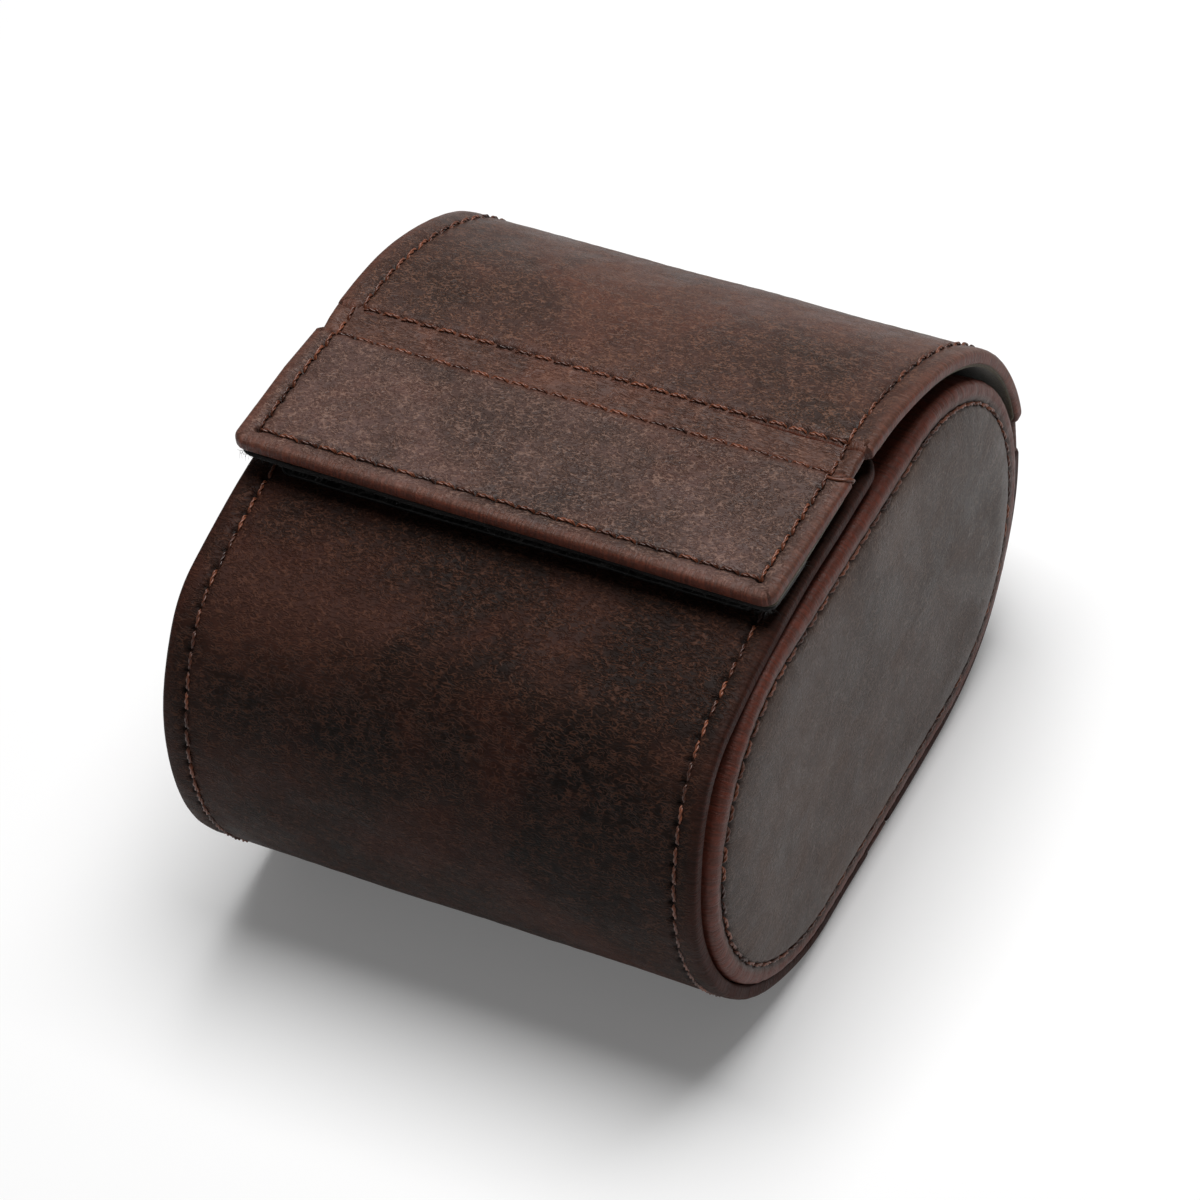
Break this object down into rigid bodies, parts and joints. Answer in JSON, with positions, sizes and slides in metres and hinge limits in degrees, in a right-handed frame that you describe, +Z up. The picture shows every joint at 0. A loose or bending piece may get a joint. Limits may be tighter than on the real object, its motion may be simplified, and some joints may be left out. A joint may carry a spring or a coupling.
{
  "type": "watch roll case",
  "caption": "Leather travel roll for one wristwatch: oval drum in a stiff wrap, folding lid and flap, padded walls and a loose watch cushion.",
  "frame": {"origin": "under the middle of the case, on the plane that it rests on", "axes": "+X across the wrap from one end cap to the other, +Y from the front to the back fold, +Z up"},
  "size_m": [0.083, 0.102, 0.069],
  "materials": {
    "wrap_leather": "waxed pull-up leather, satin",
    "fold_leather": "waxed pull-up leather, creased",
    "cap_leather": "waxed pull-up leather, greyer, satin",
    "board": "plain grey-brown paperboard",
    "lining_suede": "olive-brown microsuede",
    "padding": "dark felted padding",
    "hook_tape": "black hook tape",
    "loop_tape": "black napped loop tape",
    "cushion_suede": "tan microsuede",
    "cushion_foam": "pale wadding"
  },
  "bodies": {
    "case": {"front_leather": "wrap_leather", "front_board": "board", "front_lining": "lining_suede", "back_leather": "wrap_leather", "back_board": "board", "back_lining": "lining_suede", "bottom_fold": "fold_leather", "back_fold": "fold_leather", "hook_tape": "hook_tape", "wall_padding": "padding", "wall_suede": "lining_suede", "left_cap_leather": "cap_leather", "left_cap_padding": "padding", "left_cap_board": "board", "left_cap_lining": "lining_suede", "right_cap_leather": "cap_leather", "right_cap_padding": "padding", "right_cap_board": "board", "right_cap_lining": "lining_suede"},
    "lid": {"lid_leather": "wrap_leather", "lid_board": "board", "lid_lining": "lining_suede", "top_fold": "fold_leather"},
    "flap": {"flap_leather": "wrap_leather", "flap_board": "board", "flap_lining": "lining_suede", "loop_tape": "loop_tape"},
    "cushion": {"cushion_cover": "cushion_suede", "cushion_core": "cushion_foam", "cushion_left_end": "cushion_suede", "cushion_right_end": "cushion_suede"}
  },
  "joints": [
    {"name": "lid_hinge", "type": "hinge", "parent": "case", "child": "lid", "pos_m": [0, 0.0509, 0.031], "axis": [-1, 0, 0], "range_deg": [0, 120]},
    {"name": "flap_hinge", "type": "hinge", "parent": "lid", "child": "flap", "pos_m": [0, 0.0056, 0.0684], "axis": [-1, 0, 0], "range_deg": [0, 150]},
    {"name": "cushion_lift", "type": "slide", "parent": "case", "child": "cushion", "axis": [0, 0, 1], "range_m": [0, 0.01]}
  ]
}
